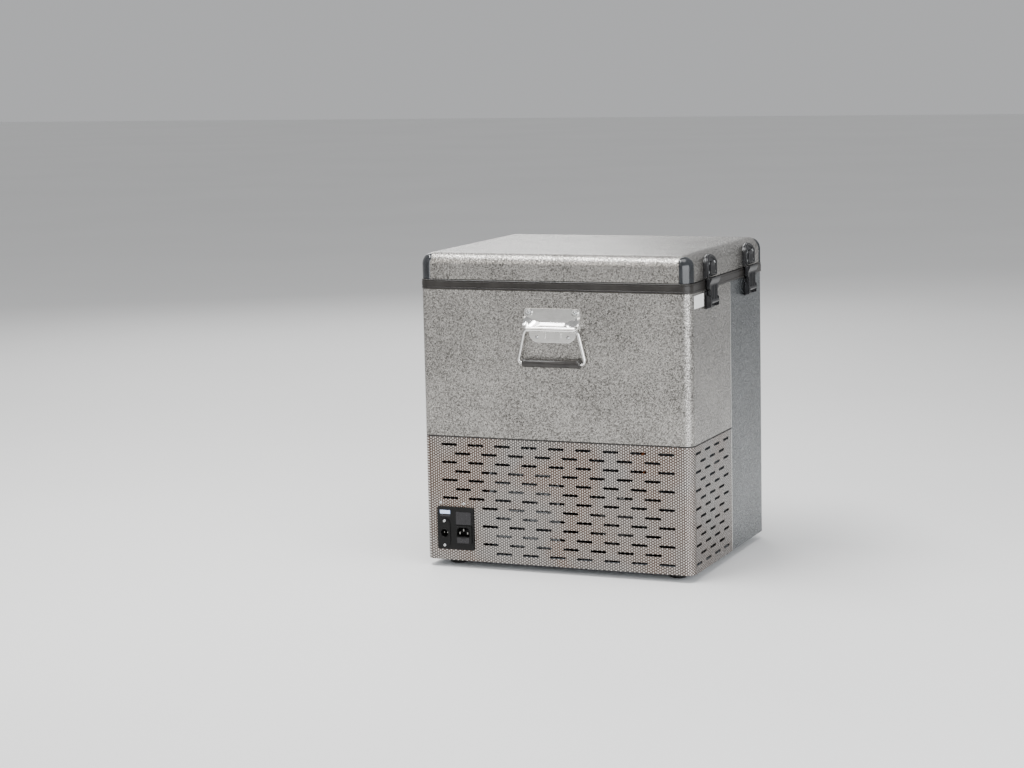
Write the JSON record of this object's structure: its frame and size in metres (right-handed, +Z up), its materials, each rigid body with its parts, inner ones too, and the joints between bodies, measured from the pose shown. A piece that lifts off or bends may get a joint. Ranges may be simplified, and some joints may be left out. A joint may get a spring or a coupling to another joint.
{
  "type": "compressor cooler fridge",
  "caption": "Upright box cooler fridge with a hinged insulated lid, side latches, drop handles, a slotted compressor bay and power inlets.",
  "frame": {"origin": "centre of the bounding box in X and Y, on the plane under the feet", "axes": "+Z up; -Y is the vented compressor face with the front handle; +X is the latched side; the lid hinges on -X"},
  "size_m": [0.4959, 0.4148, 0.525],
  "materials": {
    "embossed_sheet": "stucco-embossed light grey sheet, satin",
    "vent_sheet": "bright dimpled stainless sheet",
    "galvanised_sheet": "galvanised sheet, satin",
    "band_plastic": "dark grey, satin",
    "corner_plastic": "dark grey, glossy",
    "black_plastic": "black, satin",
    "rubber": "black, matte",
    "bright_metal": "bright plated steel",
    "liner_plastic": "pale grey, smooth",
    "foam": "rigid insulation foam, open cut",
    "compressor_enamel": "black enamel",
    "copper": "copper tube",
    "aluminium_fins": "mill finish",
    "basket_wire": "white dipped wire",
    "lamp_window": "pale blue window",
    "label_film": "blank white label"
  },
  "bodies": {
    "cabinet": {"ac_inlet": "black_plastic", "base_pan": "galvanised_sheet", "bay_bulkhead": "galvanised_sheet", "compressor": "compressor_enamel", "compressor_bracket": "galvanised_sheet", "condenser": "aluminium_fins", "control_bezel": "black_plastic", "control_display": "lamp_window", "dc_socket": "black_plastic", "discharge_tube": "copper", "drier_filter": "copper", "fan_shroud": "black_plastic", "foot_front_left": "rubber", "foot_front_right": "rubber", "foot_rear_left": "rubber", "foot_rear_right": "rubber", "front_wrap_panel": "embossed_sheet", "handle_front_plate": "bright_metal", "handle_rear_plate": "bright_metal", "hinge_front_body_leaf": "bright_metal", "hinge_front_pin": "bright_metal", "hinge_rear_body_leaf": "bright_metal", "hinge_rear_pin": "bright_metal", "inner_tub": "liner_plastic", "insulation_foam": "foam", "latch_front_base": "black_plastic", "latch_rear_base": "black_plastic", "motor_controller": "black_plastic", "power_lamp": "lamp_window", "power_panel": "black_plastic", "rear_shell": "galvanised_sheet", "side_label": "label_film", "suction_tube": "copper", "top_frame_band": "band_plastic", "vent_cover": "vent_sheet", "wire_basket": "basket_wire"},
    "lid": {"lid_shell": "embossed_sheet", "lid_liner": "liner_plastic", "lid_foam": "foam", "lid_gasket": "rubber", "corner_cap_front_left": "corner_plastic", "corner_cap_front_right": "corner_plastic", "corner_cap_rear_left": "corner_plastic", "corner_cap_rear_right": "corner_plastic", "hinge_front_lid_leaf": "bright_metal", "hinge_rear_lid_leaf": "bright_metal", "latch_front_catch": "black_plastic", "latch_rear_catch": "black_plastic"},
    "front_latch": {"latch_front_lever": "black_plastic"},
    "rear_latch": {"latch_rear_lever": "black_plastic"},
    "front_bail": {"handle_front_bail": "bright_metal", "handle_front_grip": "rubber"},
    "rear_bail": {"handle_rear_bail": "bright_metal", "handle_rear_grip": "rubber"},
    "fan": {"fan_rotor": "black_plastic"},
    "power_button": {"button_power": "rubber"},
    "up_button": {"button_up": "rubber"},
    "down_button": {"button_down": "rubber"}
  },
  "joints": [
    {"name": "lid_hinge", "type": "hinge", "parent": "cabinet", "child": "lid", "pos_m": [-0.243, 0, 0.473], "axis": [0, -1, 0], "range_deg": [0, 95]},
    {"name": "front_latch_pivot", "type": "hinge", "parent": "cabinet", "child": "front_latch", "pos_m": [0.243, -0.102, 0.446], "axis": [0, 1, 0], "range_deg": [0, 120]},
    {"name": "rear_latch_pivot", "type": "hinge", "parent": "cabinet", "child": "rear_latch", "pos_m": [0.243, 0.102, 0.446], "axis": [0, 1, 0], "range_deg": [0, 120]},
    {"name": "front_handle_swing", "type": "hinge", "parent": "cabinet", "child": "front_bail", "pos_m": [0, -0.2004, 0.4045], "axis": [-1, 0, 0], "range_deg": [0, 90]},
    {"name": "rear_handle_swing", "type": "hinge", "parent": "cabinet", "child": "rear_bail", "pos_m": [0, 0.2004, 0.4045], "axis": [1, 0, 0], "range_deg": [0, 90]},
    {"name": "fan_spin", "type": "hinge", "parent": "cabinet", "child": "fan", "pos_m": [-0.067, -0.112, 0.09], "axis": [0, 1, 0], "continuous": true},
    {"name": "power_button_press", "type": "slide", "parent": "cabinet", "child": "power_button", "axis": [1, 0, 0], "range_m": [0, 0.0012], "stiffness_N_per_m": 300},
    {"name": "up_button_press", "type": "slide", "parent": "cabinet", "child": "up_button", "axis": [1, 0, 0], "range_m": [0, 0.0012], "stiffness_N_per_m": 300},
    {"name": "down_button_press", "type": "slide", "parent": "cabinet", "child": "down_button", "axis": [1, 0, 0], "range_m": [0, 0.0012], "stiffness_N_per_m": 300}
  ]
}
